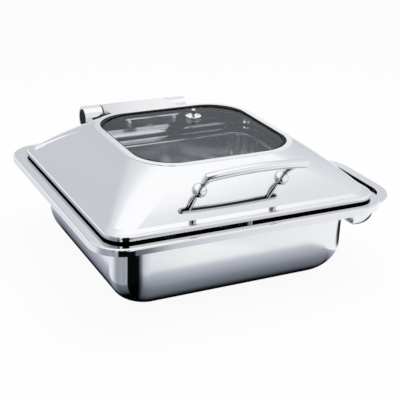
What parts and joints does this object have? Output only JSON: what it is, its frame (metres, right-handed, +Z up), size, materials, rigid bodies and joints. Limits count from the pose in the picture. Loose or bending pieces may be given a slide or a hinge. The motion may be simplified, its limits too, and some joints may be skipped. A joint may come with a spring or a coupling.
{
  "type": "chafing dish",
  "caption": "Countertop chafing dish with a damped hinged lid, a framed window, a steam vent, an arched handle, a lift-out food pan and a side spoon rest.",
  "frame": {"origin": "centre of the flat underside of the heating base", "axes": "+Z up, +X to the right seen from the handle, +Y from the handle towards the hinge"},
  "size_m": [0.466, 0.4461, 0.2133],
  "materials": {
    "polished_steel": "mirror polished stainless steel",
    "satin_steel": "satin stainless steel, drawn",
    "base_aluminium": "plain rolled",
    "clear_glass": "toughened clear glass",
    "black_seal": "black silicone rubber",
    "clear_silicone": "translucent silicone rubber",
    "black_plastic": "fine textured black plastic",
    "zinc_steel": "plain stainless fasteners",
    "bearing_plastic": "natural acetal"
  },
  "bodies": {
    "dish": {"water_pan": "polished_steel", "base_core_plate": "base_aluminium", "base_cap_plate": "satin_steel", "hinge_axle": "zinc_steel", "damper_rotor": "bearing_plastic", "damper_pin": "zinc_steel", "hinge_collar_left": "polished_steel", "hinge_collar_right": "polished_steel", "hinge_end_plug_left": "black_plastic", "hinge_end_plug_right": "black_plastic", "hinge_bracket_left": "polished_steel", "hinge_bracket_right": "polished_steel", "bracket_backing_plate_left": "satin_steel", "bracket_backing_plate_right": "satin_steel", "bracket_screws": "zinc_steel", "bracket_nuts": "zinc_steel", "axle_grub_screws": "zinc_steel", "lid_bumpers": "clear_silicone", "spoon_rest_tray": "polished_steel", "spoon_rest_hanger": "satin_steel", "spoon_rest_nuts": "zinc_steel", "spoon_rest_screws": "zinc_steel"},
    "lid": {"lid_shell": "polished_steel", "window_gasket": "black_seal", "window_glass": "clear_glass", "window_retainer": "satin_steel", "vent_ring": "polished_steel", "vent_gasket": "clear_silicone", "vent_nut": "zinc_steel", "handle_bar": "polished_steel", "handle_rosette_left": "polished_steel", "handle_rosette_right": "polished_steel", "handle_washers": "zinc_steel", "handle_screws": "zinc_steel", "hinge_leaf": "polished_steel", "leaf_backing_plate": "satin_steel", "leaf_cap_nuts": "zinc_steel", "leaf_studs": "zinc_steel", "hinge_bush_left": "bearing_plastic", "hinge_bush_right": "bearing_plastic", "damper_housing": "base_aluminium", "damper_end_caps": "base_aluminium"},
    "pan": {"food_pan": "satin_steel"},
    "vent": {"vent_cap": "polished_steel", "vent_clip": "zinc_steel"}
  },
  "joints": [
    {"name": "lid_hinge", "type": "hinge", "parent": "dish", "child": "lid", "pos_m": [0, 0.224, 0.1552], "axis": [-1, 0, 0], "range_deg": [0, 90]},
    {"name": "food_pan_lift", "type": "slide", "parent": "dish", "child": "pan", "axis": [0, 0, 1], "range_m": [0, 0.01]},
    {"name": "vent_turn", "type": "hinge", "parent": "lid", "child": "vent", "pos_m": [0.034, 0.07, 0.1903], "axis": [0, 0, 1], "range_deg": [0, 90]}
  ]
}
